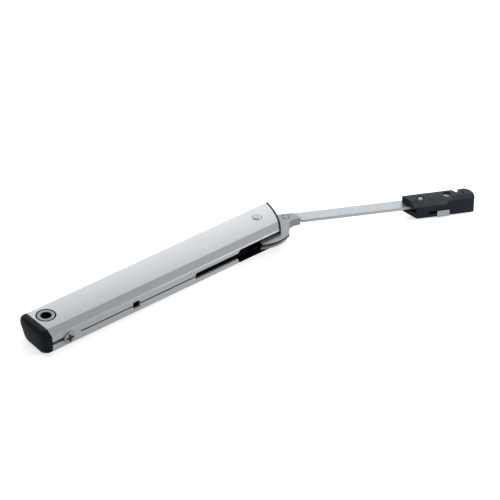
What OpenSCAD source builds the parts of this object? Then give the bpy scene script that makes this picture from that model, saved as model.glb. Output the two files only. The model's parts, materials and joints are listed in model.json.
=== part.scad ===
// Lift-up flap fitting: a flat spring housing, a swinging lever and a click-on connector.
// Origin on the axis of the fixing bush at the underside, X along the housing to the lever, Z up.

/* [Housing] */
// Height of the housing
body_h = 20; // [19.5:0.5:20.5]
// Distance from the fixing bush axis to the plain side
far_side = 11.8; // [11.7:0.1:12.2]
// Distance from the fixing bush axis to the slotted side
near_side = 21.2; // [21.1:0.1:21.6]
// Width of the bevels along the slotted side
bevel_run = 5.9; // [5.5:0.1:6.3]
// Drop of the bevels along the slotted side
bevel_drop = 3.6; // [3.3:0.1:3.9]
// Wall thickness of the housing
wall = 2; // [1.8:0.1:2.1]
// Length of the housing behind the fixing bush axis
rear_len = 9.6; // [9:0.1:10.5]
// Radius of the curved end of the housing, seen from above
end_r = 83; // [82:0.5:84]
// Depth of the domed end cap
cap_depth = 7; // [6:0.1:8]
// Radius of the hole for the fixing screw
fixing_r = 4.25; // [4:0.05:4.4]

/* [Lever] */
// Distance from the fixing bush axis to the lever pivot
pivot_x = 203; // [202:0.5:204]
// Angle between the lever and the housing when open
lever_angle = 28.75; // [27:0.25:30]
// Swing of the lever from open to closed
swing = 78; // [74:1:78]
// Thickness of the cast elbow
elbow_h = 6.6; // [6.2:0.1:6.8]
// Radius of the upper flange of the elbow
flange_r = 28.7; // [28:0.1:29]
// Width of the flat steel arm
strip_w = 10.5; // [10:0.1:11]
// Thickness of the flat steel arm
strip_t = 2.5; // [2:0.1:2.6]
// Distance along the arm from the lever pivot to the connector rivet
clip_x = 133; // [131:0.5:135]

/* [Drive] */
// Radius of the crank roller
roller_r = 4; // [3.6:0.1:4]
// Distance from the lever pivot to the crank roller
crank_r = 19.5; // [19.3:0.1:19.7]
// Angle from the arm back to the crank roller
crank_lag = 88.25; // [87:0.25:89]
// Travel of the carriage while the lever closes
carriage_travel = 12; // [11.5:0.5:12.5]
// Wire thickness of the two main springs
wire_d = 2.4; // [2:0.1:2.6]
// Turns of each main spring between its closed ends
spring_turns = 14; // [10:1:16]

/* [Connector] */
// Width of the connector
clip_w = 12; // [11.6:0.1:12.4]
// Height of the connector
clip_h = 15.4; // [15:0.1:16]
// Length of the connector beyond its rivet
clip_len = 43.5; // [42:0.5:45]
// Angle between the connector and the arm
clip_skew = 1.7; // [0:0.1:1.8]
// Travel of the sliding catch
catch_travel = 4; // [3:0.5:4]

/* [Hidden] */
$fn = 64;
eps = 0.01;

// Clearances: free gap between moving pieces, and radial play of a running fit.
free_gap = 0.3;
run_fit = 0.05;
mid_z = body_h / 2;

// Bevel geometry of the housing's section.
bevel_a = atan2(bevel_drop, bevel_run);
corner_r = 1.2;

// Rear end: block, grommet and fixing bush.
block_front = 24;
cap_plug = 1.6;
cap_power = 3;
grommet_r = 7.8;
bush_r = 5.2;
bush_flange_r = 6.75;
bush_flange_t = 1;
screw_x = 5;
screw_z = 9.8;
screw_head_r = 4.7;
screw_head_t = 1.7;
screw_cross = [6, 1.2, 1.2];
screw_shank_r = 1.8;
screw_len = 12;

// Side openings of the near wall.
groove_z = 1;
groove_deep = 1.4;
window_x = [64.5, 71];
window_z = [7, 13];
slot_z = [7.2, 12.8];
slot_x = [124.5, 166.5];
mouth_x = 168.5;
mouth_z = [-1, 15.4];
sill_y = -near_side + wall;
screw_slot_z = [8.8, 11.5];
groove_start = 16;

// Curved end of the housing, and the black rim of the guides along it.
end_reach = 19.5;
end_centre = [pivot_x + end_reach - end_r, 26.3];
rim_t = 1;
past_end = pivot_x + 30;

// Main springs, guide rods and carriage.
spring_out_r = 6.8;
spring_mid_r = spring_out_r - wire_d / 2;
spring_y = [-near_side + wall + 0.5 + spring_out_r, far_side - wall - 0.5 - spring_out_r];
rod_r = 2.5;
rod_start = 12;
rod_end = 150;
carriage_back = 122;
carriage_front = 180;
rod_bore_end = 168;
spring_steps = 14;
spring_sides = 6;

// Nose of the carriage: its face is the envelope of the roller for a constant ratio
// between the swing of the lever and the travel of the carriage.
crank_rest = -lever_angle - crank_lag;
carriage_rate = carriage_travel / (swing * PI / 180);
roller_h = 2.4;
roller_gap = 0.1;
roller_pin_r = 1.8;
nose_steps = 13;
nose_lip = 0.7;

// Pivot.
pin_r = 3.5;
pin_head_r = 3.9;
pin_head_t = 0.8;
pin_foot_r = 5;
pin_foot_t = 1.5;
bush_wall_r = 4.6;

// Elbow, in the lever's own plane: x along the arm, origin at the pivot.
hub_r = 9.2;
hub_solid_r = 13;
rear_edge_a = -163.3;
rim_end_a = -40;
lower_flange_r = 25.8;
elbow_far = 11.6;
elbow_shoulder = 18.7;
elbow_tip_far = [30.3, elbow_far];
elbow_tip_near = [35.2, 2.3];
elbow_chamfer = 1.6;
neck_centre = [32.5, -6.3];
neck_r = 7.9;
flange_t = 1.8;
elbow_z = mid_z - elbow_h / 2;

// Flat arm: its centre line runs slightly outwards from the elbow.
strip_slope = 0.01875;
strip_start = 15;
strip_tongue = 6.4;
strip_shoulder_near = 36;
strip_shoulder_far = 31;
strip_past = 40;
arm_rivet_at = [24.4, 5.9];
arm_rivet_r = 2.5;
arm_rivet_head = 3.5;
arm_rivet_head_t = 0.4;
clip_y = 5;
eye_r = 4.3;
eye_hole_r = 2.05;

// Connector, in its own plane: x along it, origin at its rivet.
clip_low = mid_z - clip_h / 2;
clip_top = mid_z + clip_h / 2;
clip_wall_near = 1.3;
nose_len = 7;
nose_rise = 10;
notch_x = clip_len - 12.8;
notch_w = 5.8;
notch_deep = 4.2;
jaw_tip = [-14.6, 8.45];
jaw_heel = -3.5;
bevel_x = [18.3, 27];
pin_hole_at = [clip_len - 8.1, 0.6];
clip_rivet_r = eye_hole_r - run_fit;
clip_pocket_end = 8;
socket_x = [12, 36];
socket_half = 4;
socket_top = 9;
window_clip_x = [5.6, 23.1];
window_clip_z = [5.2, 7.8];
tab_x = [12.4, 22.6];
tab_t = 0.8;
catch_plate_z = [5.6, 7.4];
catch_left = 20;
catch_right = 35;
adjust_x = 22;
adjust_y = 0.9;
adjust_r = 3.3;
adjust_deep = 2;

// Helpers

function polar(r, a) = [r * cos(a), r * sin(a)];

function arc(centre, r, from, to, steps) =
    [for (i = [0:steps]) centre + polar(r, from + (to - from) * i / steps)];

// Height of the housing's section: outline inset by w, points as [y, z].
function section(w) = [
    [far_side - w, w],
    [far_side - w, body_h - w],
    [-near_side + bevel_run + w * tan(bevel_a / 2), body_h - w],
    [-near_side + w, body_h - bevel_drop - w * tan(45 - bevel_a / 2)],
    [-near_side + w, bevel_drop + w * tan(45 - bevel_a / 2)],
    [-near_side + bevel_run + w * tan(bevel_a / 2), w]
];

// Replaces corner p of a path a-p-b by an arc of radius r.
function corner(a, p, b, r) =
    let (u = (a - p) / norm(a - p), v = (b - p) / norm(b - p))
    let (half = acos(u * v) / 2, m = (u + v) / norm(u + v))
    let (c = p + m * r / sin(half), s = p + u * r / tan(half), e = p + v * r / tan(half))
    let (a0 = atan2(s[1] - c[1], s[0] - c[0]), a1 = atan2(e[1] - c[1], e[0] - c[0]))
    let (turn = a1 - a0 > 180 ? a1 - a0 - 360 : a1 - a0 < -180 ? a1 - a0 + 360 : a1 - a0)
    arc(c, r, a0, a0 + turn, 5);

function rounded(p, r) =
    [for (i = [0:len(p) - 1])
        each corner(p[(i + len(p) - 1) % len(p)], p[i], p[(i + 1) % len(p)], r)];

// Extrudes an outline of [y, z] points along X.
module along_x(from, to) {
    translate([from, 0, 0])
        rotate([90, 0, 90])
            linear_extrude(to - from) children();
}

// Extrudes an outline of [x, z] points through the near wall.
module through_near(deep, proud = 1) {
    translate([0, -near_side + deep, 0])
        rotate([90, 0, 0])
            linear_extrude(deep + proud) children();
}

// Everything of the plan left of the curved end, grown outwards.
module end_plan(grow) {
    translate(end_centre) circle(end_r + grow, $fn = 200);
    translate([-3 * rear_len, -2 * near_side]) square([end_centre[0] + 5 * rear_len, 4 * near_side]);
}

module cut_to_end(grow = 0) {
    intersection() {
        children();
        translate([0, 0, -1]) linear_extrude(body_h + 2) end_plan(grow);
    }
}

// Keeps what lies between two heights.
module at_height(from, to) {
    intersection() {
        children();
        translate([-past_end, -past_end, from]) cube([2 * past_end, 2 * past_end, to - from]);
    }
}

module at_pivot() { translate([pivot_x, 0, 0]) children(); }

module on_lever() { at_pivot() rotate(-lever_angle) children(); }

module on_clip() { on_lever() translate([clip_x, clip_y, 0]) rotate(clip_skew) children(); }

module slab(outline, from, to) { translate([0, 0, from]) linear_extrude(to - from) polygon(outline); }

module bar_z(x, y, r, from, to) { translate([x, y, from]) cylinder(h = to - from, r = r); }

module bar_x(y, z, r, from, to) {
    translate([from, y, z]) rotate([0, 90, 0]) cylinder(h = to - from, r = r);
}

// Round wire wound about the X axis, with one closed turn at each end.
function coil_x(t, turns, wire, length) =
    let (body = length - 3 * wire)
    t < 1 ? wire * (0.5 + t) : t > turns + 1 ? length - wire * (0.5 + turns + 2 - t)
    : wire * 1.5 + body * (t - 1) / turns;

module coil(turns, wire, mid_r, length, steps, sides) {
    last = (turns + 2) * steps;
    points = [for (i = [0:last], k = [0:sides - 1])
        let (a = 360 * i / steps, b = 360 * k / sides, r = mid_r + wire / 2 * cos(b))
        [coil_x(i / steps, turns, wire, length) + wire / 2 * sin(b), r * cos(a), r * sin(a)]];
    walls = [for (i = [0:last - 1], k = [0:sides - 1])
        let (n = (k + 1) % sides, p = i * sides, q = p + sides)
        each [[p + k, q + k, q + n], [p + k, q + n, p + n]]];
    ends = [
        [for (k = [0:sides - 1]) k],
        [for (k = [sides - 1:-1:0]) last * sides + k]
    ];
    polyhedron(points, concat(walls, ends));
}

// Housing and its fixed pieces

module housing() {
    color("#c6c9cb")
    difference() {
        cut_to_end() along_x(-rear_len, past_end) polygon(rounded(section(0), corner_r));
        along_x(-rear_len - 1, past_end) polygon(section(wall));
        bar_z(0, 0, grommet_r, -1, body_h + 1);
        bar_z(pivot_x, 0, pin_r, -1, body_h + 1);
        translate([pivot_x, 0, -eps]) cylinder(h = pin_foot_t + eps, r1 = pin_foot_r, r2 = pin_r);
        side_openings();
        translate([screw_x, 0, screw_z]) rotate([90, 0, 0]) cylinder(h = near_side + 1, r = screw_shank_r);
        side_groove(groove_start, window_x[0]);
        side_groove(window_x[1], slot_x[0]);
    }
}

module side_groove(from, to) {
    through_near(groove_deep)
        translate([from, mid_z - groove_z / 2]) square([to - from, groove_z]);
}

module side_openings() {
    through_near(wall + 1) {
        translate([-rear_len - 1, screw_slot_z[0]])
            square([rear_len + 1 + screw_x, screw_slot_z[1] - screw_slot_z[0]]);
        polygon(rounded([
            [window_x[0], window_z[0]], [window_x[1], window_z[0]],
            [window_x[1], window_z[1]], [window_x[0], window_z[1]]
        ], 1));
        polygon(concat(
            corner([slot_x[1], slot_z[0]], [slot_x[0], slot_z[0]], [slot_x[0], mid_z], 1.5),
            corner([slot_x[0], mid_z], [slot_x[0], slot_z[1]], [slot_x[1], slot_z[1]], 1.5),
            [[slot_x[1], slot_z[1]], [mouth_x, mouth_z[1]], [past_end, mouth_z[1]]],
            [[past_end, mouth_z[0]], [mouth_x, mouth_z[0]], [slot_x[1], slot_z[0]]]
        ));
    }
}

// Outline of the cap where it has reached the share t of its depth, points as [y, z].
function cap_outline(t) =
    let (p = section(0), shrink = pow(1 - pow(t, cap_power), 1 / cap_power))
    let (centre = [(far_side - near_side) / 2, mid_z])
    [for (i = [0:5], q = corner(p[(i + 5) % 6], p[i], p[(i + 1) % 6], corner_r + (i < 2 ? 9 : 1.5) * t))
        centre + (q - centre) * shrink];

// Dome of rings that shrink to an apex.
module dome(depth, rings) {
    sides = len(cap_outline(0));
    base = [for (k = [0:rings - 1]) let (t = sin(90 * k / rings))
        each [for (q = cap_outline(t)) [-depth * t, q[0], q[1]]]];
    walls = [for (k = [0:rings - 2], i = [0:sides - 1])
        let (n = (i + 1) % sides, p = k * sides, q = p + sides)
        each [[p + i, p + n, q + n], [p + i, q + n, q + i]]];
    last = (rings - 1) * sides;
    crown = [for (i = [0:sides - 1]) [last + i, last + (i + 1) % sides, rings * sides]];
    foot = [[for (i = [sides - 1:-1:0]) i]];
    polyhedron(concat(base, [[-depth, (far_side - near_side) / 2, mid_z]]), concat(walls, crown, foot));
}

// Domed cap with a plug that fits the inside of the housing.
module end_cap() {
    color("#26272a") {
        translate([-rear_len, 0, 0]) dome(cap_depth, 10);
        along_x(-rear_len - 0.5, -rear_len + cap_plug) polygon(section(wall));
    }
}

module bush_grommet() {
    color("#2b2c2e")
    difference() {
        bar_z(0, 0, grommet_r, 0, body_h);
        bar_z(0, 0, bush_r + run_fit, -1, body_h + 1);
        for (z = [-1, body_h - bush_flange_t - run_fit])
            bar_z(0, 0, bush_flange_r + run_fit, z, z + 1 + bush_flange_t + run_fit);
    }
}

module fixing_bush() {
    color("#d9dbdc")
    difference() {
        union() {
            bar_z(0, 0, bush_r, 0, body_h);
            bar_z(0, 0, bush_flange_r, 0, bush_flange_t);
            bar_z(0, 0, bush_flange_r, body_h - bush_flange_t, body_h);
        }
        bar_z(0, 0, fixing_r, -1, body_h + 1);
    }
}

module rear_block() {
    color("#232426")
    difference() {
        along_x(-rear_len + cap_plug, block_front) polygon(section(wall));
        bar_z(0, 0, grommet_r, -1, body_h + 1);
        for (y = spring_y) bar_x(y, mid_z, rod_r, rod_start, block_front + 1);
        translate([screw_x, -near_side + screw_len, screw_z])
            rotate([90, 0, 0]) cylinder(h = screw_len, r = screw_shank_r);
    }
}

// Pan head with a rounded rim and a cross recess, shank into the rear block.
module block_screw() {
    edge = 0.8;
    color("#a9adb0")
    translate([screw_x, -near_side, screw_z]) rotate([90, 0, 0]) {
        difference() {
            rotate_extrude() polygon(concat(
                [[0, 0], [screw_head_r, 0]],
                arc([screw_head_r - edge, screw_head_t - edge], edge, 0, 90, 4),
                [[0, screw_head_t]]
            ));
            for (a = [0, 90]) rotate(a)
                translate([-screw_cross[0] / 2, -screw_cross[1] / 2, screw_head_t - screw_cross[2]])
                    cube([screw_cross[0], screw_cross[1], 2 * screw_cross[2]]);
        }
        translate([0, 0, -screw_len]) cylinder(h = screw_len + eps, r = screw_shank_r);
    }
}

module guide_rod(y) {
    color("#9fa3a6") bar_x(y, mid_z, rod_r, rod_start, rod_end);
}

module main_spring(y) {
    color("#3a3c3f")
    translate([block_front, y, mid_z])
        coil(spring_turns, wire_d, spring_mid_r, carriage_back - block_front, spring_steps, spring_sides);
}

// Guide for the lever between heights from and to; its rim, between rim_from and rim_to,
// covers the curved end of the housing.
module guide_cheek(from, to, rim_from, rim_to) {
    cheek_from = carriage_front + free_gap;
    color("#1f2022")
    difference() {
        union() {
            at_height(from, to) cut_to_end(rim_t) along_x(cheek_from, past_end) polygon(section(wall));
            at_height(rim_from, rim_to) difference() {
                cut_to_end(rim_t) along_x(cheek_from, past_end) polygon(rounded(section(0), corner_r));
                translate([0, 0, -1]) linear_extrude(body_h + 2) end_plan(0);
            }
        }
        bar_z(pivot_x, 0, pin_r, 0, body_h);
    }
}

module upper_guide() {
    low = elbow_z + elbow_h + free_gap;
    guide_cheek(low, body_h - wall, low, body_h);
}

// The lower guide carries a sill that closes the underside of the side opening.
module lower_guide() {
    top = elbow_z - free_gap;
    guide_cheek(wall, top, 0, top);
    color("#1f2022")
    at_height(0, top) cut_to_end() intersection() {
        along_x(mouth_x, past_end) polygon(rounded(section(0), corner_r));
        translate([mouth_x, -near_side - 1, 0]) cube([past_end, sill_y + near_side + 1, body_h]);
    }
}

module pivot_pin() {
    dome = 0.4;
    color("#cfd2d4")
    at_pivot() rotate_extrude() polygon([
        [0, 0], [pin_foot_r, 0], [pin_r, pin_foot_t], [pin_r, body_h], [pin_head_r, body_h],
        [pin_head_r, body_h + pin_head_t - dome], [pin_head_r - dome, body_h + pin_head_t],
        [0, body_h + pin_head_t]
    ]);
}

// Sliding carriage

function roller_centre(a) = [
    pivot_x + crank_r * cos(crank_rest - a) + carriage_travel * a / swing,
    crank_r * sin(crank_rest - a)
];

function roller_normal(a) =
    let (t = [crank_r * sin(crank_rest - a) + carriage_rate, -crank_r * cos(crank_rest - a)])
    [-t[1], t[0]] / norm(t);

function nose_face(a) = roller_centre(a) + (roller_r + roller_gap) * roller_normal(a);

module carriage() {
    face = [for (i = [0:nose_steps]) nose_face(swing * i / nose_steps)];
    tip = face[nose_steps];
    nose_near = face[0][1] - nose_lip;
    color("#1b1c1e")
    difference() {
        union() {
            along_x(carriage_back, carriage_front) polygon(section(wall + free_gap));
            slab(concat(
                [[carriage_front - 2, nose_near + 3], [carriage_front, nose_near], [face[0][0], nose_near]],
                face, [[tip[0] - 1, tip[1] + 1], [carriage_front - 2, tip[1] + 1]]
            ), mid_z - roller_h / 2, mid_z + roller_h / 2);
        }
        for (y = spring_y) bar_x(y, mid_z, rod_r + run_fit, carriage_back - 1, rod_bore_end);
    }
}

// Lever

function elbow_outline(rim_r) =
    let (rim_start_a = rear_edge_a + acos(hub_r / rim_r))
    concat(
        arc([0, 0], hub_r, 97, 360 + rear_edge_a, 16),
        arc([0, 0], rim_r, rim_start_a, rim_end_a, 12),
        [[22.3, -16.3], [22.6, -13.5], [23.8, -8.9]],
        arc(neck_centre, neck_r, 180, 104, 8),
        [elbow_tip_near, elbow_tip_far, [elbow_shoulder, elbow_far]]
    );

// Part of the elbow's plane outside radius r, from the rear edge round to angle to_a.
module rim_sector(r, to_a) {
    difference() {
        polygon(concat([[0, 0]], arc([0, 0], 2 * flange_r, to_a, -140, 12)));
        circle(r);
    }
}

module lever_elbow() {
    slot_z0 = mid_z - strip_t / 2;
    gap_low = elbow_z + flange_t;
    gap_top = elbow_z + elbow_h - flange_t;
    color("#9b9fa2")
    on_lever() difference() {
        slab(elbow_outline(flange_r), elbow_z, elbow_z + elbow_h);
        // Smaller rim of the lower flange
        translate([0, 0, elbow_z - 1]) linear_extrude(mid_z - elbow_z + 1) rim_sector(lower_flange_r, -30);
        // Bores of the pivot bush, the roller pin and the arm rivet
        bar_z(0, 0, bush_wall_r, 0, body_h);
        translate(polar(crank_r, -crank_lag)) cylinder(h = body_h, r = roller_pin_r);
        translate(arm_rivet_at) cylinder(h = body_h, r = arm_rivet_r);
        for (z = [elbow_z - 1, elbow_z + elbow_h - arm_rivet_head_t])
            translate([arm_rivet_at[0], arm_rivet_at[1], z])
                cylinder(h = 1 + arm_rivet_head_t, r = arm_rivet_head);
        // Space for the roller and the carriage nose between the flanges
        translate([0, 0, gap_low]) linear_extrude(gap_top - gap_low)
            rim_sector(hub_solid_r, rim_end_a + 1);
        // Slot for the arm
        slab([
            [strip_start, strip_centre(strip_start) - strip_tongue / 2],
            [strip_shoulder_near, strip_centre(strip_start) - strip_tongue / 2],
            [strip_shoulder_near, -strip_w], [strip_past, -strip_w], [strip_past, 2 * strip_w],
            [strip_shoulder_far, 2 * strip_w],
            [strip_shoulder_far, strip_centre(strip_start) + strip_tongue / 2],
            [strip_start, strip_centre(strip_start) + strip_tongue / 2]
        ], slot_z0, slot_z0 + strip_t);
        // Chamfers of the far edges
        for (side = [-1, 1]) translate([elbow_shoulder - 0.5, 0, mid_z])
            rotate([90, 0, 90]) linear_extrude(20) polygon([
                [elbow_far - elbow_chamfer, side * (elbow_h / 2 + eps)],
                [elbow_far + eps, side * (elbow_h / 2 - elbow_chamfer)],
                [elbow_far + 5, side * (elbow_h / 2 + eps)]
            ]);
    }
}

module pivot_bush() {
    color("#b58a4a")
    at_pivot() difference() {
        bar_z(0, 0, bush_wall_r, elbow_z, elbow_z + elbow_h);
        bar_z(0, 0, pin_r + run_fit, 0, body_h);
    }
}

module at_crank() { on_lever() translate(polar(crank_r, -crank_lag)) children(); }

module crank_roller() {
    color("#b9bcbe")
    at_crank() difference() {
        bar_z(0, 0, roller_r, mid_z - roller_h / 2, mid_z + roller_h / 2);
        bar_z(0, 0, roller_pin_r + run_fit, 0, body_h);
    }
}

module roller_pin() {
    color("#c9ccce") at_crank() bar_z(0, 0, roller_pin_r, elbow_z, elbow_z + elbow_h);
}

function strip_centre(x) = 7.2 + strip_slope * (x - 36);

module arm_strip() {
    tongue_y = strip_centre(strip_start);
    color("#d5d7d9")
    on_lever() difference() {
        slab(concat(
            [[strip_start, tongue_y - strip_tongue / 2], [strip_start, tongue_y + strip_tongue / 2]],
            [[strip_shoulder_far, tongue_y + strip_tongue / 2]],
            [[strip_shoulder_far, strip_centre(strip_shoulder_far) + strip_w / 2]],
            [[clip_x - 12, strip_centre(clip_x - 12) + strip_w / 2]],
            arc([clip_x, clip_y], eye_r, 64, -160, 22),
            [[strip_shoulder_near, strip_centre(strip_shoulder_near) - strip_w / 2]],
            [[strip_shoulder_near, tongue_y - strip_tongue / 2]]
        ), mid_z - strip_t / 2, mid_z + strip_t / 2);
        translate(arm_rivet_at) cylinder(h = body_h, r = arm_rivet_r);
        bar_z(clip_x, clip_y, eye_hole_r, 0, body_h);
    }
}

// Rivet joining the elbow and the arm: flush heads, the upper one marked by four punched dots.
module arm_rivet() {
    proud = 0.1;
    color("#a4a8ab")
    on_lever() translate(arm_rivet_at) difference() {
        union() {
            bar_z(0, 0, arm_rivet_r, elbow_z, elbow_z + elbow_h);
            bar_z(0, 0, arm_rivet_head, elbow_z - proud, elbow_z + arm_rivet_head_t);
            bar_z(0, 0, arm_rivet_head, elbow_z + elbow_h - arm_rivet_head_t, elbow_z + elbow_h + proud);
        }
        for (a = [45:90:315]) rotate(a) bar_z(2.3, 0, 0.6, elbow_z + elbow_h - 0.3, body_h);
    }
}

// Connector

// Plan of the connector; arm_end lists the points of its end towards the arm.
module clip_plan(arm_end) {
    far = clip_w / 2;
    polygon(concat(
        arm_end, [[clip_len, -far]],
[for (i = [0:8])
            [clip_len - nose_len * (1 - cos(90 * i / 8)), far - nose_rise * (1 - sin(90 * i / 8))]],
        [[notch_x + 2.3, far], [notch_x, far - notch_deep], [notch_x + 2.3 - notch_w, far]]
    ));
}

module clip_body() {
    far = clip_w / 2;
    color("#3c3e42")
    on_clip() difference() {
        union() {
            translate([0, 0, clip_low]) linear_extrude(mid_z - clip_low)
                clip_plan(concat(
                    [[jaw_tip[0] - 1.1, far]],
                    corner([jaw_tip[0] - 1.1, far], [jaw_tip[0] + 0.2, -1.6], [-4.8, -far], 1),
                    corner([jaw_tip[0] + 0.2, -1.6], [-4.8, -far], [clip_len, -far], 5)
                ));
            translate([0, 0, mid_z]) linear_extrude(clip_top - mid_z)
                clip_plan(concat([[-13.3, far]], corner([-13.3, far], [-6.9, -far], [clip_len, -far], 2)));
        }
        clip_edges();
        clip_cavities();
    }
}

// Bevel of the near upper edge: wide and steep at the arm end, flatter at the far end.
module clip_edges() {
    near = -clip_w / 2;
    above = clip_top + 1;
    steep = [[near - 1, 11.8], [near + 3.8, clip_top], [near + 3.8, above], [near - 1, above]];
    flat = [[near - 1, 15.6], [near + 4, clip_top], [near + 4, above], [near - 1, above]];
    along_x(-2 * clip_len, bevel_x[0]) polygon(steep);
    along_x(bevel_x[1], 2 * clip_len) polygon(flat);
    hull() {
        along_x(bevel_x[0] - eps, bevel_x[0]) polygon(steep);
        along_x(bevel_x[1], bevel_x[1] + eps) polygon(flat);
    }
    // Sloping end of the lower jaw
    translate([0, clip_len, 0]) rotate([90, 0, 0]) linear_extrude(2 * clip_len)
        polygon([
            [-clip_len, 0], [jaw_heel, 0], [jaw_heel, clip_low], jaw_tip, [-clip_len, jaw_tip[1]]
        ]);
}

module clip_cavities() {
    near_in = -clip_w / 2 + clip_wall_near;
    // Slot for the arm, open to the arm end and to the far side
    translate([0, 0, mid_z - strip_t / 2 - free_gap]) linear_extrude(strip_t + 2 * free_gap) {
        translate([-20, near_in]) square([20 + clip_pocket_end, clip_w]);
        translate([-20, -clip_w]) square([20 - 4.5, clip_w]);
    }
    // Rivet bore with its recess
    bar_z(0, 0, clip_rivet_r, 0, body_h);
    bar_z(0, 0, 2.8, clip_top - 1, body_h);
    bar_z(0, 0, 2.8, 0, clip_low + 1);
    // Adjusting screw bore and pinhole
    bar_z(adjust_x, adjust_y, adjust_r, clip_top - adjust_deep - 2, body_h);
    bar_z(adjust_x, adjust_y, 1.5, socket_top - 1, body_h);
    bar_z(pin_hole_at[0], pin_hole_at[1], 1, clip_top - 5, body_h);
    // Socket in the underside and the window of the catch
    translate([socket_x[0], -socket_half, 0])
        cube([socket_x[1] - socket_x[0], 2 * socket_half, socket_top]);
    translate([window_clip_x[0], -clip_w, window_clip_z[0]])
        cube([window_clip_x[1] - window_clip_x[0], clip_w - 2.7, window_clip_z[1] - window_clip_z[0]]);
}

module clip_rivet() {
    head_t = 0.6;
    color("#b4b7ba")
    on_clip() {
        bar_z(0, 0, clip_rivet_r, clip_low + 1, clip_top - 1);
        bar_z(0, 0, 2.3, clip_top - 1, clip_top - 1 + head_t);
        bar_z(0, 0, 2.3, clip_low + 1 - head_t, clip_low + 1);
    }
}

module clip_screw() {
    top = clip_top - adjust_deep;
    color("#c3c6c8")
    on_clip() translate([adjust_x, adjust_y, 0]) difference() {
        union() {
            bar_z(0, 0, adjust_r, top - 2, top);
            bar_z(0, 0, 1.5, socket_top, top - 1);
        }
        for (a = [0, 90]) rotate(a) translate([-1.8, -0.4, top - 0.8]) cube([3.6, 0.8, 1]);
    }
}

module catch_plate() {
    near = -clip_w / 2;
    plate_t = catch_plate_z[1] - catch_plate_z[0];
    color("#c9cbcd")
    on_clip() {
        translate([catch_left, -socket_half + free_gap, catch_plate_z[0]])
            cube([catch_right - catch_left, 2 * (socket_half - free_gap), plate_t]);
        translate([tab_x[0], near - free_gap - eps, catch_plate_z[0]])
            cube([tab_x[1] - tab_x[0], 3.2, plate_t]);
        translate([tab_x[0], near - free_gap - tab_t, 2.2])
            cube([tab_x[1] - tab_x[0], tab_t, 5.6]);
    }
}

module catch_spring() {
    color("#8f9396")
    on_clip() translate([socket_x[0], 0.6, (catch_plate_z[0] + catch_plate_z[1]) / 2])
        coil(4, 0.5, 1.3, catch_left - socket_x[0], 12, 6);
}

housing();
end_cap();
fixing_bush();
bush_grommet();
rear_block();
block_screw();
guide_rod(spring_y[0]);  // guide_rod_near
guide_rod(spring_y[1]);  // guide_rod_far
main_spring(spring_y[0]);  // spring_near
main_spring(spring_y[1]);  // spring_far
carriage();
upper_guide();
lower_guide();
pivot_pin();
pivot_bush();
lever_elbow();
crank_roller();
roller_pin();
arm_strip();
arm_rivet();
clip_body();
clip_rivet();
clip_screw();
catch_plate();
catch_spring();
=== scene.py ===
import json
import math

import bmesh
import bpy
from mathutils import Matrix, Vector


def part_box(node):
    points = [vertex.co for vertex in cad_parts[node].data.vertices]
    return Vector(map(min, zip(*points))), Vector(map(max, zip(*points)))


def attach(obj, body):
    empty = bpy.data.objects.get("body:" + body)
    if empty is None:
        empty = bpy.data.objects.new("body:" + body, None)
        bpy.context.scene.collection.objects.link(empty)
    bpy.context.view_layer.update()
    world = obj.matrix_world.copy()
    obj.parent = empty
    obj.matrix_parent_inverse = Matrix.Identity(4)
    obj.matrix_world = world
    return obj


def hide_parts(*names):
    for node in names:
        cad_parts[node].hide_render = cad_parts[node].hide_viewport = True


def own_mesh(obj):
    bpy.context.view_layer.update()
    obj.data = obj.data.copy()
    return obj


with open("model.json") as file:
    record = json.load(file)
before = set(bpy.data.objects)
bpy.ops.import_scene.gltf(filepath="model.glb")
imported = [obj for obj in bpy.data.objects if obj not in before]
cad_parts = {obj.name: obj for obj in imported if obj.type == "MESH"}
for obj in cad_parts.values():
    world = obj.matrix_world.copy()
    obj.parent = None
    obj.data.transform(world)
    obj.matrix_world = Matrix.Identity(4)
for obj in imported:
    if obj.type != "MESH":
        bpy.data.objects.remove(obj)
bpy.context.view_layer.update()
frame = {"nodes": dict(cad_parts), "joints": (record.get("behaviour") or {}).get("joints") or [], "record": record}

mm = 0.001
nodes = frame["nodes"]
record = frame["record"]
joints = {joint["name"]: joint for joint in frame["joints"]}
bodyOf = {name: body for body, names in record["behaviour"]["bodies"].items() for name in names}
slotOf = {part["node"]: part["material_slot"] for part in record["subparts"]}
print("frame loaded")


# Helpers for colours and shader nodes

def hexColor(code):
    # the sRGB standard's own curve, from hex to linear
    def linear(v):
        return v / 12.92 if v <= 0.04045 else ((v + 0.055) / 1.055) ** 2.4
    return [linear(int(code[i:i + 2], 16) / 255) for i in (1, 3, 5)] + [1.0]


def newMaterial(name):
    mat = bpy.data.materials.new(name)
    mat.use_nodes = True
    return mat, mat.node_tree, mat.node_tree.nodes["Principled BSDF"]


def setInputs(tree, node, inputs):
    # another node's socket is linked, and a plain value is typed in
    for key, value in inputs.items():
        if isinstance(value, bpy.types.NodeSocket):
            tree.links.new(value, node.inputs[key])
        else:
            node.inputs[key].default_value = value


def addNode(tree, kind, inputs=None, **settings):
    node = tree.nodes.new(kind)
    for key, value in settings.items():
        setattr(node, key, value)
    setInputs(tree, node, inputs or {})
    return node


def objectSpace(tree, stretch=(1, 1, 1), turnDegrees=0.0):
    coords = addNode(tree, "ShaderNodeTexCoord")
    turn = (0, 0, math.radians(turnDegrees))
    mapping = addNode(tree, "ShaderNodeMapping", {"Vector": coords.outputs["Object"], "Rotation": turn,
                                                  "Scale": stretch})
    return mapping.outputs["Vector"]


def noise(tree, vector, sizeMm, detail):
    scale = 1 / (sizeMm * mm)
    tex = addNode(tree, "ShaderNodeTexNoise", {"Vector": vector, "Scale": scale, "Detail": detail})
    return tex.outputs["Fac"]


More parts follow.
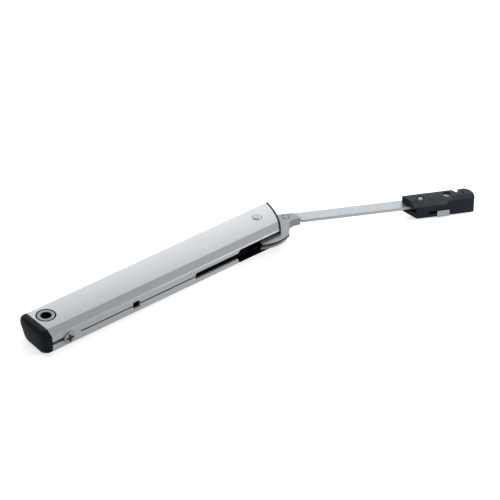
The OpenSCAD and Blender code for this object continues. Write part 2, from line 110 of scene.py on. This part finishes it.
def toneFrom(tree, pattern, finish, rampFrom=0.35, rampTo=0.65):
    # the pattern blends the finish's two close tones
    node = addNode(tree, "ShaderNodeValToRGB", {"Fac": pattern})
    darkStop, lightStop = node.color_ramp.elements
    darkStop.position = rampFrom
    lightStop.position = rampTo
    darkStop.color = hexColor(finish["dark"])
    lightStop.color = hexColor(finish["light"])
    return node.outputs["Color"]


def roughnessFrom(tree, pattern, finish):
    low, high = finish["rough"]
    node = addNode(tree, "ShaderNodeMapRange", {"Value": pattern, "To Min": low, "To Max": high})
    return node.outputs["Result"]


def surfaceFrom(tree, pattern, finish, depthMm, strength):
    # softened edges under the fine relief of the pattern
    edge = addNode(tree, "ShaderNodeBevel", {"Radius": finish["edgeMm"] * mm}, samples=6)
    bump = addNode(tree, "ShaderNodeBump", {"Height": pattern, "Normal": edge.outputs["Normal"],
                                            "Strength": strength, "Distance": depthMm * mm})
    return bump.outputs["Normal"]


# Finishes, each named for the material and how its surface was made. One pixel of the picture is
# about 0.8 mm of the part, so brushed lines, tool texture and turning marks, all some 0.05 to 0.2 mm
# wide in the real one, are drawn as coarse as the sizes below. Every metal keeps the default IOR.

# Aluminium, drawn, brushed along its length and anodised clear: soft pale grey with faint lengthwise
# streaks and no mirror. Its colour is darkened towards the near edge: painted shade, for light that falls off
# across its flat face.
brushedAnodisedAluminium = {
    "dark": "#d3d7db", "light": "#d7dbdf", "metallic": 0.35, "rough": (0.36, 0.42), "edgeMm": 0.5,
    "streakMm": 1.6, "stretch": (0.06, 1, 1), "grainMm": 0.35,
    "darkerAtMm": -16, "fullAtMm": 10, "paintedShadeTone": 0.75,
}


def makeBrushedAluminium(name, finish):
    mat, tree, shader = newMaterial(name)
    streak = noise(tree, objectSpace(tree, finish["stretch"]), finish["streakMm"], detail=4)
    grain = noise(tree, objectSpace(tree), finish["grainMm"], detail=5)
    # painted shade: the base colour is scaled down towards the near edge (lower Y)
    place = addNode(tree, "ShaderNodeSeparateXYZ", {"Vector": objectSpace(tree)})
    share = addNode(tree, "ShaderNodeMapRange", {"Value": place.outputs["Y"], "To Max": 1.0,
                                                 "From Min": finish["darkerAtMm"] * mm,
                                                 "From Max": finish["fullAtMm"] * mm,
                                                 "To Min": finish["paintedShadeTone"]})
    tone = addNode(tree, "ShaderNodeVectorMath", {0: toneFrom(tree, streak, finish),
                                                  "Scale": share.outputs["Result"]}, operation="SCALE")
    setInputs(tree, shader, {"Base Color": tone.outputs["Vector"], "Metallic": finish["metallic"],
                             "Roughness": roughnessFrom(tree, grain, finish),
                             "Normal": surfaceFrom(tree, grain, finish, depthMm=0.012, strength=0.25)})
    return mat


mouldings = {
    # nylon from a spark-eroded tool: near-black and dull, with hardly any sheen
    "erodedNylon": {"slot": "black_plastic", "dark": "#030405", "light": "#050608", "rough": (0.5, 0.62),
                    "gloss": 0.03, "grainMm": 0.4, "edgeMm": 0.35},
    # acetal from a finely ground tool: blue-black, smoother, with a soft sheen
    "groundAcetal": {"slot": "grey_plastic", "dark": "#0a131c", "light": "#0e1823", "rough": (0.34, 0.44),
                     "gloss": 0.22, "grainMm": 0.35, "edgeMm": 0.35},
    # ABS from an etched tool: near-black with a blue cast, and a faint sheen on the round dome
    "etchedAbs": {"slot": "cap", "dark": "#09141a", "light": "#0d1a21", "rough": (0.34, 0.44),
                  "gloss": 0.12, "grainMm": 0.4, "edgeMm": 0.35},
    # the guide's nylon, made lighter and glossier than the lower guide's: a painted sheen where its rim shows as a
    # thin dark grey line
    "nylonWithPaintedSheen": {"slot": "rim", "dark": "#1a1e21", "light": "#202427", "rough": (0.42, 0.52),
                      "gloss": 0.3, "grainMm": 0.35, "edgeMm": 0.3},
    # the connector's acetal painted lighter on its sloping faces: a painted sheen for the sky they catch
    "acetalWithPaintedSheen": {"slot": "bevel", "dark": "#262e35", "light": "#2b343b", "rough": (0.34, 0.44),
                       "gloss": 0.35, "grainMm": 0.35, "edgeMm": 0.35},
}


def makeMoulding(name, finish):
    mat, tree, shader = newMaterial(name)
    grain = noise(tree, objectSpace(tree), finish["grainMm"], detail=6)
    cloud = noise(tree, objectSpace(tree), sizeMm=9, detail=2)  # slow change of tone, as the resin flowed
    setInputs(tree, shader, {"Base Color": toneFrom(tree, cloud, finish),
                             "Roughness": roughnessFrom(tree, grain, finish),
                             "Specular IOR Level": finish["gloss"],
                             "Normal": surfaceFrom(tree, grain, finish, depthMm=0.02, strength=0.35)})
    return mat


metals = {
    # bright steel bar, turned: an even pale grey without lines
    "turnedSteel": {"slot": "bright_steel", "dark": "#9ea3a6", "light": "#adb1b4", "metallic": 0.6,
                    "rough": (0.38, 0.48), "streakMm": 0.5, "edgeMm": 0.2},
    # cold-headed steel, zinc-plated: pale grey with a soft mottle and a clearer highlight
    "zincPlatedSteel": {"slot": "zinc_steel", "dark": "#9a9ea2", "light": "#b0b5b8", "metallic": 0.7,
                        "rough": (0.3, 0.42), "streakMm": 0.6, "edgeMm": 0.2},
    # cold-rolled strip, ground along the arm: pale, with fine lines that run with it
    "groundStripSteel": {"slot": "strip_steel", "dark": "#abb0b4", "light": "#b6bbbe", "metallic": 0.65,
                         "rough": (0.36, 0.46), "streakMm": 0.35, "edgeMm": 0.25,
                         "stretch": (0.04, 1, 1), "turnDegrees": 27.7},
    # hardened spring wire, drawn and oiled: smooth dark grey
    "drawnSpringWire": {"slot": "spring_steel", "dark": "#35373a", "light": "#45484b", "metallic": 0.8,
                        "rough": (0.32, 0.45), "streakMm": 0.8, "edgeMm": 0.8},
    # zinc, pressure die-cast and tumbled: an even, mottled mid grey
    "tumbledCastZinc": {"slot": "zinc_cast", "dark": "#8c9195", "light": "#9ca1a4", "metallic": 0.8,
                        "rough": (0.38, 0.52), "streakMm": 0.8, "edgeMm": 0.4},
    # bronze, pressed from powder and sintered: warm brown with a soft shine
    "sinteredBronze": {"slot": "bronze", "dark": "#9c7440", "light": "#b58a4e", "metallic": 0.9,
                       "rough": (0.3, 0.42), "streakMm": 0.5, "edgeMm": 0.15},
    # zinc-plated steel painted nearly white: a painted highlight, the brightest spot on the connector
    "zincPlateWithPaintedHighlight": {"slot": "screwFace", "dark": "#d6dadd", "light": "#e4e7e9", "metallic": 0.3,
                          "rough": (0.3, 0.4), "streakMm": 0.6, "edgeMm": 0.2},
    # steel, turned and plated dull: mid grey, darker than the pin; on the arm rivet the same grey is a slightly
    # darker painted shade in the punch marks and round the head
    "dullPlatedSteelAndPaintedShade": {"slot": "bush", "dark": "#8a8e91", "light": "#999da0", "metallic": 0.6,
                        "rough": (0.35, 0.45), "streakMm": 0.5, "edgeMm": 0.3},
    # painted shade, nearly black and without shine, on the walls of holes, grooves and pockets and on what lies
    # deep in them
    "paintedShadeBlack": {"slot": "recess", "dark": "#101112", "light": "#17181a", "metallic": 0.2,
                  "rough": (0.5, 0.62), "streakMm": 0.4, "edgeMm": 0.1},
    # painted shade, a dull dark grey: on the near side of the elbow's rim and in the screw's cross
    "paintedShadeGrey": {"slot": "rimEdge", "dark": "#3a3d40", "light": "#494d50", "metallic": 0.7,
                    "rough": (0.45, 0.6), "streakMm": 0.8, "edgeMm": 0.2},
}


def makeMetal(name, finish):
    mat, tree, shader = newMaterial(name)
    along = objectSpace(tree, finish.get("stretch", (1, 1, 1)), finish.get("turnDegrees", 0.0))
    streak = noise(tree, along, finish["streakMm"], detail=4)
    setInputs(tree, shader, {"Base Color": toneFrom(tree, streak, finish), "Metallic": finish["metallic"],
                             "Roughness": roughnessFrom(tree, streak, finish),
                             "Normal": surfaceFrom(tree, streak, finish, depthMm=0.008, strength=0.25)})
    return mat


finishes = {"housing_metal": makeBrushedAluminium("brushedAnodisedAluminium", brushedAnodisedAluminium)}
for name, finish in mouldings.items():
    finishes[finish["slot"]] = makeMoulding(name, finish)
for name, finish in metals.items():
    finishes[finish["slot"]] = makeMetal(name, finish)
print("finishes made")

for nodeName, slotName in slotOf.items():
    nodes[nodeName].data.materials.clear()
    nodes[nodeName].data.materials.append(finishes[slotName])
print("finishes applied")


# Helpers for the pieces, which are copies of the solids with the small roundings of the real ones

copying = {"mergeMm": 0.001, "flatDegrees": 0.6}


def copyOfNode(nodeName, wholeFaces=True):
    bm = bmesh.new()
    bm.from_mesh(nodes[nodeName].data)
    bmesh.ops.remove_doubles(bm, verts=bm.verts, dist=copying["mergeMm"] * mm)
    if wholeFaces:
        bmesh.ops.dissolve_limit(bm, angle_limit=math.radians(copying["flatDegrees"]), verts=bm.verts,
                                 edges=bm.edges)
    bmesh.ops.recalc_face_normals(bm, faces=bm.faces)
    return bm


def sharpEdges(bm, degrees):
    return [e for e in bm.edges if len(e.link_faces) == 2 and e.calc_face_angle() > math.radians(degrees)]


def roundOff(bm, edges, widthMm, segments, material=-1):
    bmesh.ops.bevel(bm, geom=edges, offset=widthMm * mm, offset_type="OFFSET", affect="EDGES",
                    segments=segments, profile=0.5, material=material, clamp_overlap=True)


def roundSharp(bm, edge):
    roundOff(bm, sharpEdges(bm, edge["fromDegrees"]), edge["widthMm"], edge["segments"])


def inFirstFinish(edge):
    return all(face.material_index == 0 for face in edge.link_faces)


def chamferHollow(bm, widthMm):
    # one step round the hollow, in the piece's second finish: painted shade round its rim
    rim = [e for e in bm.edges if len({face.material_index for face in e.link_faces}) == 2]
    roundOff(bm, rim, widthMm, segments=1, material=1)


def paintHollowShade(bm, hollow):
    # the second finish, painted shade, on what lies round an axis, between two heights over its foot
    axis = Vector(hollow["axis"])
    low, high = hollow["heightMm"]
    for face in bm.faces:
        offset = face.calc_center_median() / mm - Vector(hollow["footMm"])
        height = offset.dot(axis)
        across = (offset - axis * height).length
        if across < hollow["radiusMm"] and low < height < high:
            face.material_index = 1


def addPiece(bm, pieceName, look):
    nodeName = look["node"]
    mesh = bpy.data.meshes.new(pieceName)
    bm.to_mesh(mesh)
    bm.free()
    mesh.shade_smooth()
    mesh.set_sharp_from_angle(angle=math.radians(look.get("smoothDegrees", 40)))
    piece = bpy.data.objects.new(pieceName, mesh)
    bpy.context.scene.collection.objects.link(piece)
    mesh.materials.append(finishes[look.get("finish", slotOf[nodeName])])
    # the second finish holds each piece's painted shade or painted sheen
    mesh.materials.append(finishes[look.get("second", "recess")])
    weighted = piece.modifiers.new("evenShading", "WEIGHTED_NORMAL")
    weighted.keep_sharp = True
    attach(piece, bodyOf[nodeName])
    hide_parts(nodeName)
    return piece


def roundedPiece(pieceName, look):
    bm = copyOfNode(look["node"])
    if "hollow" in look:
        paintHollowShade(bm, look["hollow"])
    roundSharp(bm, look["edge"])
    addPiece(bm, pieceName, look)


def footOf(nodeName):
    # where a round node's upright axis stands, in mm
    low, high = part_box(nodeName)
    return ((low[0] + high[0]) / 2 / mm, (low[1] + high[1]) / 2 / mm, 0)


# Housing: a drawn profile with a softer corner between its bevel and its slotted side

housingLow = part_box("housing")[0]
nearSideMm = housingLow[1] / mm

housingShell = {
    "node": "housing", "edge": {"widthMm": 0.22, "segments": 2, "fromDegrees": 28},
    "corner": {"widthMm": 0.9, "segments": 4, "aboveMm": 15.3, "withinMm": 0.1, "straight": 0.999},
    "groove": {"depthMm": (0.05, 1.45), "heightMm": (9.45, 10.55), "fromMm": 8, "facesAlong": 0.1},
}


def paintGrooveShade(bm, groove):
    # the groove is narrow, so its walls are painted dark: painted shade
    shallow, deep = groove["depthMm"]
    low, high = groove["heightMm"]
    for face in bm.faces:
        middle = face.calc_center_median() / mm
        inside = shallow < middle.y - nearSideMm < deep and low < middle.z < high
        if inside and middle.x > groove["fromMm"] and abs(face.normal.x) < groove["facesAlong"]:
            face.material_index = 1


def onCorner(edge, corner):
    straight = abs((edge.verts[0].co - edge.verts[1].co).normalized().x) > corner["straight"]
    side = nearSideMm + corner["withinMm"]
    return straight and all(v.co.y < side * mm and v.co.z > corner["aboveMm"] * mm for v in edge.verts)


def makeHousingShell(look):
    bm = copyOfNode(look["node"])
    corner = look["corner"]
    paintGrooveShade(bm, look["groove"])
    longEdges = [e for e in bm.edges if onCorner(e, corner)]
    roundOff(bm, longEdges, corner["widthMm"], corner["segments"])
    print("long housing edges rounded:", len(longEdges))
    roundSharp(bm, look["edge"])
    addPiece(bm, "housingShell", look)


makeHousingShell(housingShell)
print("housing made")


# Rims of the two guides, which stand a little prouder of the curved end than the guides do

guideRim = {"centreMm": (139.5, 26.3), "radiusMm": 84, "withinMm": 0.05, "prouderMm": 0.7}
# the upper guide takes the lighter, glossier nylon: painted sheen on its rim
upperRim = {"node": "upper_guide", "finish": "rim", **guideRim}
lowerRim = {"node": "lower_guide", **guideRim}


def makeRim(pieceName, look):
    bm = copyOfNode(look["node"])
    for vert in bm.verts:
        outwards = vert.co.xy / mm - Vector(look["centreMm"])
        if abs(outwards.length - look["radiusMm"]) < look["withinMm"]:
            vert.co.xy += outwards.normalized() * look["prouderMm"] * mm
    addPiece(bm, pieceName, look)


makeRim("upperRim", upperRim)
makeRim("lowerRim", lowerRim)
print("rims made")


# Rear cap: its lower near and upper far corners bulge more than the rest before they turn inwards

rearCap = {
    "node": "end_cap", "finish": "cap", "smoothDegrees": 60,
    "dome": 3,  # the power of the solid's own dome
    "fullest": 9,  # the power of the squarest dome that a corner may reach
    "betweenDepths": (0.01, 0.995),  # the root and the tip stay
    # towards each corner, across and up: its dome's power, how narrow it is, and its extra width at the tip
    "corners": (
        {"towards": (-0.9, -0.44), "dome": 5, "narrow": 3, "squarer": 0},
        {"towards": (0.52, 0.85), "dome": 9, "narrow": 2.2, "squarer": 0.3},
    ),
}


def domeShare(depth, power):
    # the dome's width over its root's, from depth 0 at the root to 1 at the tip
    return (1 - depth ** power) ** (1 / power)


def makeRearCap(look):
    bm = copyOfNode(look["node"])
    low, high = (Vector(corner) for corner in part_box(look["node"]))
    centre = (low + high) / 2
    half = (high - low) / 2
    root = housingLow[0]
    first, last = look["betweenDepths"]
    for vert in bm.verts:
        depth = (root - vert.co.x) / (root - low.x)
        if not first < depth < last:
            continue
        side = Vector(((vert.co.y - centre.y) / half.y, (vert.co.z - centre.z) / half.z))
        grow = 1.0
        for corner in look["corners"]:
            weight = max(0.0, side.normalized().dot(Vector(corner["towards"]))) ** corner["narrow"]
            fuller = domeShare(depth, corner["dome"]) / domeShare(depth, look["dome"]) - 1
            grow += weight * (fuller + corner["squarer"] * depth)
        most = domeShare(depth, look["fullest"])
        vert.co.y = centre.y + half.y * max(-most, min(most, side.x * grow))
        vert.co.z = centre.z + half.z * max(-most, min(most, side.y * grow))
    addPiece(bm, "rearCap", look)


makeRearCap(rearCap)
print("rear cap made")


# Elbow and arm. The near side of the upper flange's rim is painted dark grey as shade, at places from the lever's
# pivot

leverPivotMm = Vector((joints["lever_swing"]["pos_m"][0], joints["lever_swing"]["pos_m"][1], 0)) / mm

castElbow = {
    "node": "lever_elbow", "second": "rimEdge", "edge": {"widthMm": 0.35, "segments": 2, "fromDegrees": 28},
    "paintedShadeRim": {"pastMm": 27.8, "beforeX": 17, "beforeY": -8, "aboveZ": 10, "facesUp": 0.3},
}


def makeCastElbow(look):
    bm = copyOfNode(look["node"])
    rim = look["paintedShadeRim"]
    for face in bm.faces:
        spot = face.calc_center_median() / mm - leverPivotMm
        outer = spot.xy.length > rim["pastMm"] and spot.x < rim["beforeX"] and spot.y < rim["beforeY"]
        # painted shade on the rim's outer faces
        if outer and spot.z > rim["aboveZ"] and abs(face.normal.z) < rim["facesUp"]:
            face.material_index = 1
    roundSharp(bm, look["edge"])
    addPiece(bm, "castElbow", look)


makeCastElbow(castElbow)

steelArm = {"node": "arm_strip", "edge": {"widthMm": 0.3, "segments": 2, "fromDegrees": 28}}

roundedPiece("steelArm", steelArm)
print("elbow and arm made")


# Connector, measured along it, across it and up from its pivot

connectorAlong = -Vector(joints["catch_slide"]["axis"])
connectorPivot = Vector((joints["clip_pivot"]["pos_m"][0], joints["clip_pivot"]["pos_m"][1], 0))
connectorPlace = (Matrix.Translation(connectorPivot)
                  @ Matrix.Rotation(math.atan2(connectorAlong.y, connectorAlong.x), 4, "Z"))

connectorBody = {
    "node": "clip_body", "second": "bevel", "edge": {"widthMm": 0.6, "segments": 3, "fromDegrees": 22},
    # the lighter finish on these sloping faces is painted sheen
    "paintedSheenFacesUp": (0.2, 0.98),  # faces that slope between these take the lighter finish
    # softer edges of the near side: the corner of the free end first, then the lower edge
    "softer": {"widthMm": 1.3, "segments": 5, "acrossMm": -5.9},
    "softerFrom": ({"alongMm": 43.3, "belowMm": 16.5}, {"alongMm": -3.6, "belowMm": 2.4}),
    # a dark block under the catch's neck, standing in for shade: it closes the view through the pocket
    "shadeBlock": {"fromMm": (12, -4.1, 2.4), "sizeMm": (1.8, 8.2, 2.7)},
}


def onConnector(place):
    return connectorPlace.inverted() @ place / mm


def addShadeBlock(bm, shadeBlock):
    size = Vector(shadeBlock["sizeMm"]) * mm
    centre = Vector(shadeBlock["fromMm"]) * mm + size / 2
    bmesh.ops.create_cube(bm, size=1, matrix=connectorPlace @ Matrix.LocRotScale(centre, None, size))


def makeConnectorBody(look):
    bm = copyOfNode(look["node"])
    low, high = look["paintedSheenFacesUp"]
    # painted sheen: faces that slope upwards take the lighter acetal
    for face in bm.faces:
        if low < face.normal.z < high:
            face.material_index = 1
    softer = look["softer"]
    for start in look["softerFrom"]:
        edges = []
        for edge in bm.edges:
            ends = [onConnector(v.co) for v in edge.verts]
            near = all(end.y < softer["acrossMm"] for end in ends)
            if near and all(end.x > start["alongMm"] and end.z < start["belowMm"] for end in ends):
                edges.append(edge)
        print("softer connector edges:", len(edges))
        roundOff(bm, edges, softer["widthMm"], softer["segments"])
    roundSharp(bm, look["edge"])
    addShadeBlock(bm, look["shadeBlock"])
    addPiece(bm, "connectorBody", look)


makeConnectorBody(connectorBody)
print("connector made")


# Bush, screws, rivets and pin

sleeveBush = {
    "node": "fixing_bush", "finish": "bush", "edge": {"widthMm": 0.15, "segments": 2, "fromDegrees": 60},
    # its bore takes the near-black second finish: painted shade
    "hollow": {"footMm": footOf("fixing_bush"), "axis": (0, 0, 1), "radiusMm": 4.6, "heightMm": (0.4, 19.6)},
}

roundedPiece("sleeveBush", sleeveBush)

panHeadScrew = {
    "node": "block_screw", "second": "rimEdge", "chamferMm": 0.35,
    # the cross recess and its rim take the dark grey: painted shade
    "hollow": {"footMm": (5, nearSideMm, 9.8), "axis": (0, -1, 0), "radiusMm": 3.3, "heightMm": (0.3, 1.62)},
}


def makePanHeadScrew(look):
    bm = copyOfNode(look["node"])
    paintHollowShade(bm, look["hollow"])
    chamferHollow(bm, look["chamferMm"])
    addPiece(bm, "panHeadScrew", look)


makePanHeadScrew(panHeadScrew)

armRivet = {
    "node": "arm_rivet", "finish": "zinc_cast", "second": "bush", "chamferMm": 0.25,
    # the punch marks, their rims and the head's edge take the bush's grey: painted shade
    "hollow": {"footMm": footOf("arm_rivet"), "axis": (0, 0, 1), "radiusMm": 3.2, "heightMm": (12.8, 13.35)},
    "headEdge": {"widthMm": 0.3, "segments": 1, "fromDegrees": 60, "aboveMm": 13.35},
}


def makeArmRivet(look):
    bm = copyOfNode(look["node"])
    paintHollowShade(bm, look["hollow"])
    chamferHollow(bm, look["chamferMm"])
    head = look["headEdge"]
    edges = [e for e in sharpEdges(bm, head["fromDegrees"])
             if inFirstFinish(e) and all(v.co.z > head["aboveMm"] * mm for v in e.verts)]
    roundOff(bm, edges, head["widthMm"], head["segments"], material=1)
    addPiece(bm, "armRivet", look)


makeArmRivet(armRivet)

pivotPin = {
    "node": "pivot_pin", "finish": "strip_steel", "edge": {"widthMm": 0.15, "segments": 2, "fromDegrees": 30},
}

roundedPiece("pivotPin", pivotPin)

connectorRivet = {"node": "clip_rivet", "finish": "zinc_cast", "ringMm": 0.4, "aboveMm": 17, "facesUp": 0.9}


def makeConnectorRivet(look):
    # a narrow ring at the edge of the head's top is painted near-black: painted shade where the peened head meets
    # the moulding
    bm = copyOfNode(look["node"])
    top = [f for f in bm.faces
           if f.normal.z > look["facesUp"] and f.calc_center_median().z > look["aboveMm"] * mm]
    ring = bmesh.ops.inset_region(bm, faces=top, thickness=look["ringMm"] * mm, use_boundary=True)
    for face in ring["faces"]:
        face.material_index = 1
    addPiece(bm, "connectorRivet", look)


makeConnectorRivet(connectorRivet)

# the screw's nearly white finish is a painted highlight
adjustingScrew = {
    "node": "clip_screw", "finish": "screwFace", "edge": {"widthMm": 0.12, "segments": 2, "fromDegrees": 60},
}

roundedPiece("adjustingScrew", adjustingScrew)
print("bush, screws, rivets and pin made")


# Catch: only the finger plate on the near side keeps the bright finish, and what slides in the pocket is painted
# near-black as shade

slidingCatch = {
    "node": "catch_plate", "edge": {"widthMm": 0.15, "segments": 2, "fromDegrees": 60}, "pocketMm": -6.25,
}


def makeSlidingCatch(look):
    bm = copyOfNode(look["node"])
    for face in bm.faces:
        if onConnector(face.calc_center_median()).y > look["pocketMm"]:
            face.material_index = 1
    edge = look["edge"]
    bright = [e for e in sharpEdges(bm, edge["fromDegrees"]) if inFirstFinish(e)]
    roundOff(bm, bright, edge["widthMm"], edge["segments"])
    addPiece(bm, "slidingCatch", look)


makeSlidingCatch(slidingCatch)
print("catch made")


# Springs, copied as they stand; each notes its fixed end and the travel of the piece that it pushes

rearBlockFace = Vector((24, 0, 10)) * mm

springs = {
    "nearLiftSpring": {"node": "spring_near", "joint": "carriage_slide", "away": Vector((1, 0, 0)),
                       "fixed": rearBlockFace},
    "farLiftSpring": {"node": "spring_far", "joint": "carriage_slide", "away": Vector((1, 0, 0)),
                      "fixed": rearBlockFace},
    "catchReturnSpring": {"node": "catch_spring", "joint": "catch_slide", "away": connectorAlong,
                          "fixed": connectorPivot},
}
for pieceName, spring in springs.items():
    wire = copyOfNode(spring["node"], wholeFaces=False)
    spring["travelMm"] = max(abs(end) for end in joints[spring["joint"]]["range_m"]) / mm
    piece = addPiece(wire, pieceName, spring)
    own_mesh(piece)


# Floor: white paper that glows to the camera, and only faintly in the metal's reflections

whiteFloor = {"sizeM": 6.0, "colour": "#ffffff", "rough": 0.9, "gloss": 0.1, "glow": 0.55, "mirror": 0.08}


def makeFloor(look):
    bm = bmesh.new()
    bmesh.ops.create_grid(bm, x_segments=1, y_segments=1, size=look["sizeM"] / 2)
    mesh = bpy.data.meshes.new("floor")
    bm.to_mesh(mesh)
    bm.free()
    floor = bpy.data.objects.new("floor", mesh)
    bpy.context.scene.collection.objects.link(floor)
    mat, tree, shader = newMaterial("whitePaper")
    ray = addNode(tree, "ShaderNodeLightPath")
    mirror = addNode(tree, "ShaderNodeMath", {0: ray.outputs["Is Glossy Ray"], 1: look["mirror"]},
                     operation="MULTIPLY")
    seen = addNode(tree, "ShaderNodeMath", {0: ray.outputs["Is Camera Ray"], 1: mirror.outputs[0]},
                   operation="ADD")
    through = addNode(tree, "ShaderNodeMath", {0: seen.outputs[0], 1: ray.outputs["Is Transmission Ray"]},
                      operation="ADD")
    glow = addNode(tree, "ShaderNodeMath", {0: through.outputs[0], 1: look["glow"]}, operation="MULTIPLY")
    setInputs(tree, shader, {"Base Color": hexColor(look["colour"]), "Roughness": look["rough"],
                             "Specular IOR Level": look["gloss"], "Emission Color": (1, 1, 1, 1),
                             "Emission Strength": glow.outputs[0]})
    mesh.materials.append(mat)


makeFloor(whiteFloor)


# Sky: dimmer on the camera's side than behind the part, and even overhead

softSky = {
    "front": 0.28, "back": 0.7, "overhead": 0.46,
    "frontAt": -0.4, "backAt": 0.5, "sidesUpTo": 0.55, "overheadFrom": 0.85,
}


def makeSky(look):
    world = bpy.data.worlds.new("softSky")
    bpy.context.scene.world = world
    world.use_nodes = True
    tree = world.node_tree
    coords = addNode(tree, "ShaderNodeTexCoord")
    split = addNode(tree, "ShaderNodeSeparateXYZ", {"Vector": coords.outputs["Generated"]})
    around = addNode(tree, "ShaderNodeMapRange", {"Value": split.outputs["Y"], "From Min": look["frontAt"],
                                                  "From Max": look["backAt"], "To Min": look["front"],
                                                  "To Max": look["back"]})
    height = addNode(tree, "ShaderNodeMapRange", {"Value": split.outputs["Z"], "From Min": look["sidesUpTo"],
                                                  "From Max": look["overheadFrom"],
                                                  "To Min": around.outputs["Result"],
                                                  "To Max": look["overhead"]})
    setInputs(tree, tree.nodes["Background"], {"Strength": height.outputs["Result"], "Color": (1, 1, 1, 1)})


makeSky(softSky)


# Lamps, with their places and sizes in metres

lamps = {
    "keyLamp": {"place": (0.3, 0.26, 0.22), "aim": (0.17, 0, 0), "watts": 0.54, "size": (0.75, 0.12)},
    "edgeLamp": {"place": (0.5, -0.45, 0.22), "aim": (0.19, 0, 0), "watts": 1.6, "size": (0.2, 0.13)},
    "fillLamp": {"place": (-1.2, -0.6, 1.2), "aim": (0.15, 0, 0), "watts": 1, "size": (1.5, 1.5)},
}
for lampName, look in lamps.items():
    light = bpy.data.lights.new(lampName, "AREA")
    light.shape = "RECTANGLE"
    light.energy = look["watts"]
    light.size, light.size_y = look["size"]
    lamp = bpy.data.objects.new(lampName, light)
    bpy.context.scene.collection.objects.link(lamp)
    lamp.location = look["place"]
    lamp.rotation_euler = (Vector(look["aim"]) - Vector(look["place"])).to_track_quat("-Z", "Y").to_euler()


# Camera, fitted to the housing's edges in the photograph

photoCamera = {
    "eyeMm": (-795.6, -1194.2, 1070.7), "aimMm": (188.2, -9.2, 0), "lensMm": 172.8, "sensorMm": 36,
    "nearestM": 0.05,
}


def addCamera(look):
    eye = Vector(look["eyeMm"]) * mm
    aim = Vector(look["aimMm"]) * mm
    data = bpy.data.cameras.new("photoCamera")
    data.sensor_width = look["sensorMm"]
    data.lens = look["lensMm"]
    data.clip_start = look["nearestM"]
    camera = bpy.data.objects.new("photoCamera", data)
    bpy.context.scene.collection.objects.link(camera)
    camera.location = eye
    camera.rotation_euler = (aim - eye).to_track_quat("-Z", "Y").to_euler()
    bpy.context.scene.camera = camera


addCamera(photoCamera)
bpy.context.scene.view_settings.view_transform = "Standard"
print("floor, light and camera set")
